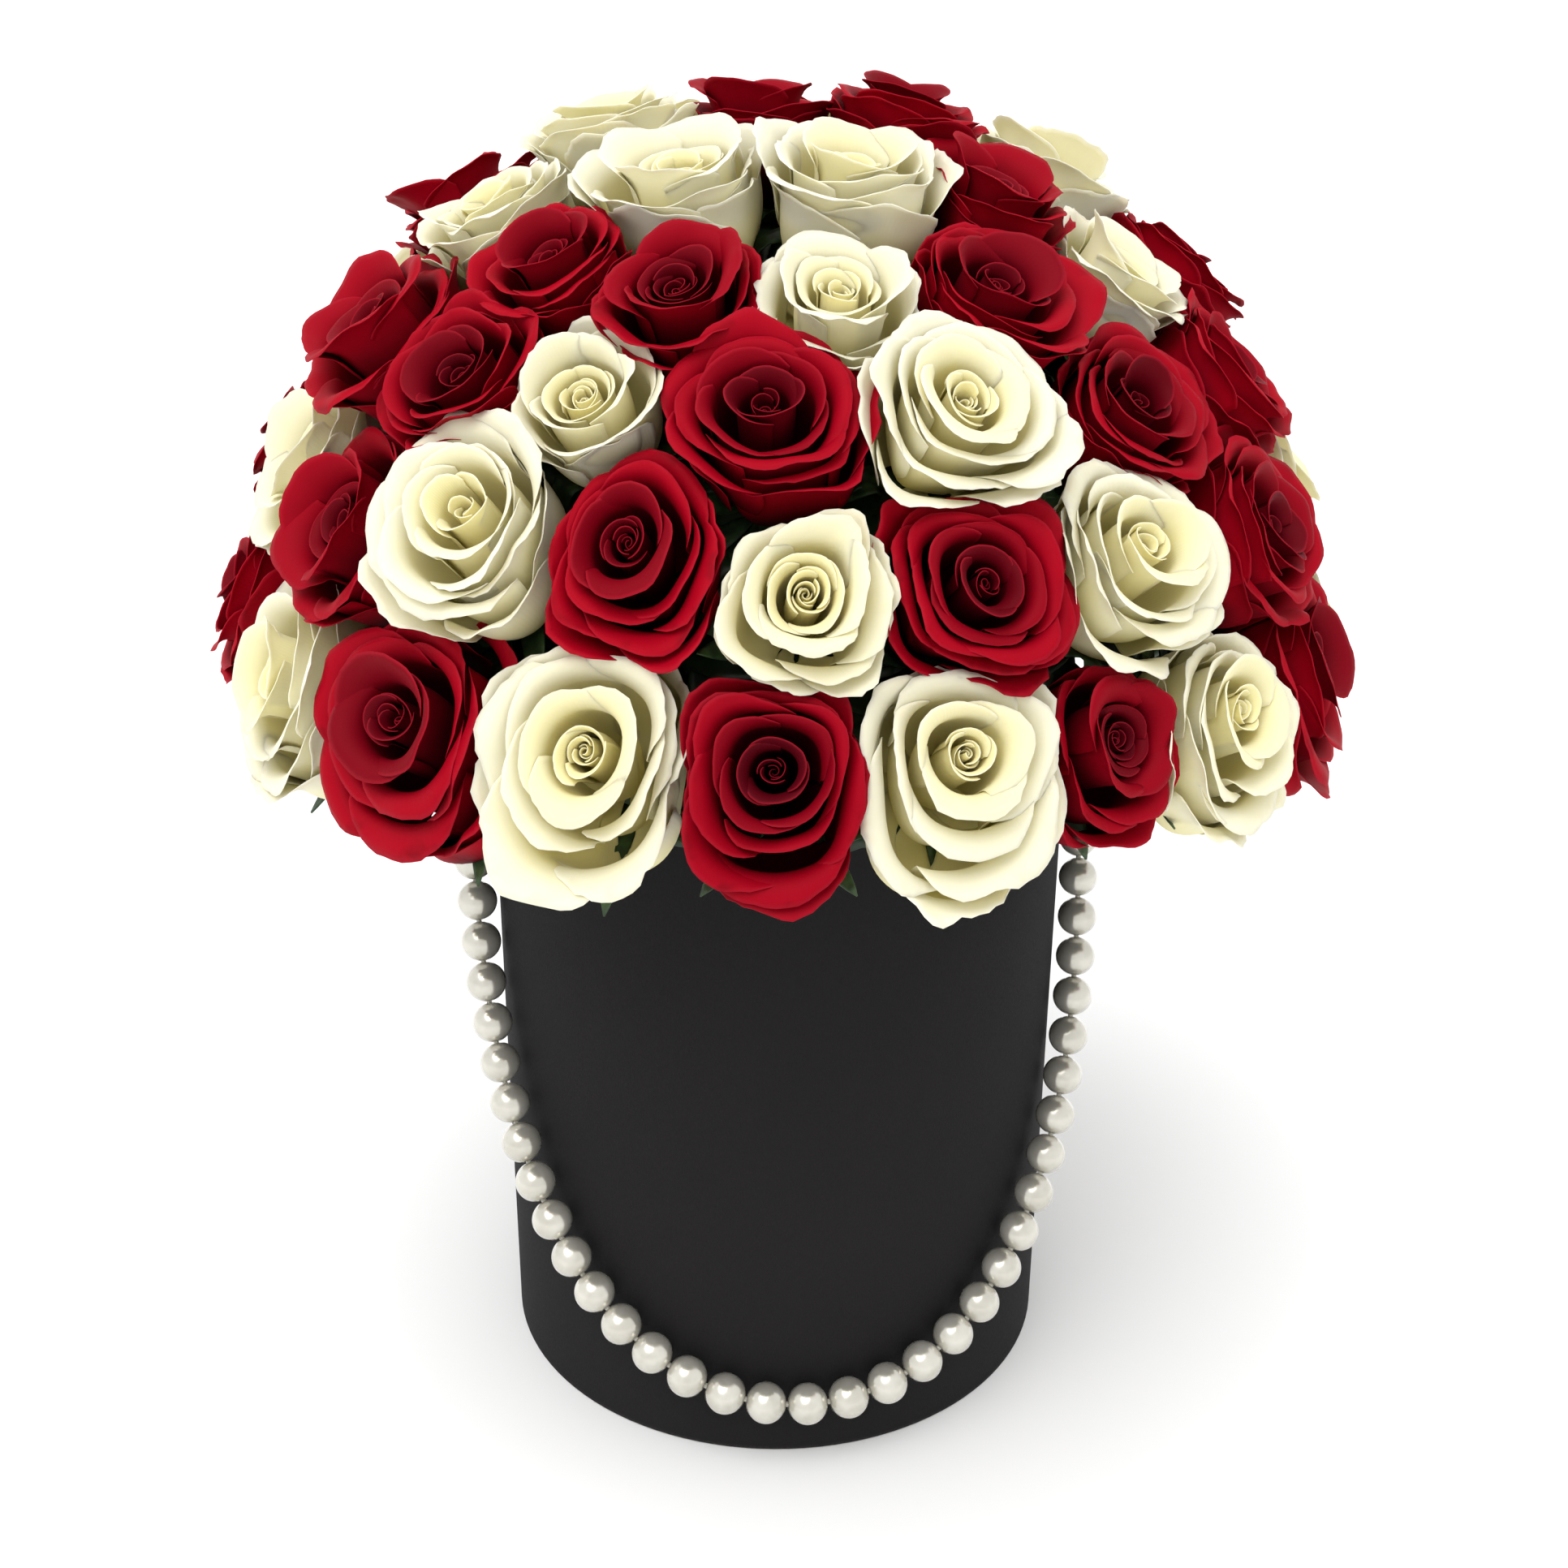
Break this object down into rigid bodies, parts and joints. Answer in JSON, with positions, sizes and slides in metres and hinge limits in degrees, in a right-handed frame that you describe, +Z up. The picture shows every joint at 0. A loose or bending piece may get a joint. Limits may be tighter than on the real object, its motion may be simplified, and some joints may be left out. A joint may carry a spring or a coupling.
{
  "type": "flower box",
  "caption": "Round covered flower box with a dome of red and white roses set in wet foam and a pearl strand that hangs across its front from two eyelets.",
  "frame": {"origin": "centre of the underside of the box's base, where it stands on a table", "axes": "+Z up along the box's axis; -Y is the front, where the pearl strand hangs; +X to the right when looking at the front, through the right eyelet"},
  "size_m": [0.3783, 0.3807, 0.4491],
  "materials": {
    "cardboard": "raw grey-brown board",
    "black_paper": "matte charcoal covering paper",
    "eyelet_metal": "satin nickel",
    "liner_plastic": "matte black plastic",
    "foam": "wet green floral foam",
    "stems": "fresh green stem",
    "calyxes": "fresh green leaf",
    "red_petals": "velvety red petal",
    "white_petals": "cream white petal",
    "pearls": "pearlescent lacquer",
    "cord": "twisted nylon bead cord"
  },
  "bodies": {
    "box": {"box_wall": "cardboard", "box_base": "cardboard", "cover_paper": "black_paper", "eyelet_left": "eyelet_metal", "eyelet_right": "eyelet_metal"},
    "bouquet": {"foam": "foam", "liner": "liner_plastic", "red_rose_a02": "red_petals", "red_rose_a04": "red_petals", "red_rose_a06": "red_petals", "red_rose_a08": "red_petals", "red_rose_a10": "red_petals", "red_rose_b02": "red_petals", "red_rose_b04": "red_petals", "red_rose_b06": "red_petals", "red_rose_b08": "red_petals", "red_rose_c01": "red_petals", "red_rose_c02": "red_petals", "red_rose_c04": "red_petals", "red_rose_c06": "red_petals", "red_rose_c07": "red_petals", "red_rose_c08": "red_petals", "red_rose_d01": "red_petals", "red_rose_d03": "red_petals", "red_rose_d04": "red_petals", "red_rose_d06": "red_petals", "red_rose_d08": "red_petals", "red_rose_f01": "red_petals", "red_rose_f02": "red_petals", "red_roses_back_lower": "red_petals", "red_roses_back_upper": "red_petals", "rose_calyxes": "calyxes", "rose_stems": "stems", "white_rose_a01": "white_petals", "white_rose_a03": "white_petals", "white_rose_a05": "white_petals", "white_rose_a07": "white_petals", "white_rose_a09": "white_petals", "white_rose_a11": "white_petals", "white_rose_b01": "white_petals", "white_rose_b03": "white_petals", "white_rose_b05": "white_petals", "white_rose_b07": "white_petals", "white_rose_b09": "white_petals", "white_rose_c03": "white_petals", "white_rose_c05": "white_petals", "white_rose_d02": "white_petals", "white_rose_d05": "white_petals", "white_rose_d07": "white_petals", "white_rose_d09": "white_petals", "white_rose_e01": "white_petals", "white_rose_e02": "white_petals", "white_rose_e03": "white_petals", "white_roses_back_lower": "white_petals", "white_roses_back_upper": "white_petals"},
    "pearl_strand": {"pearl_cord": "cord", "pearl_beads": "pearls", "cord_knot_left": "cord", "cord_knot_right": "cord"}
  },
  "joints": [
    {"name": "insert_lift", "type": "slide", "parent": "box", "child": "bouquet", "axis": [0, 0, 1], "range_m": [0, 0.26]},
    {"name": "strand_swing", "type": "hinge", "parent": "box", "child": "pearl_strand", "pos_m": [0, 0, 0.215], "axis": [-1, 0, 0], "range_deg": [0, 60]}
  ]
}
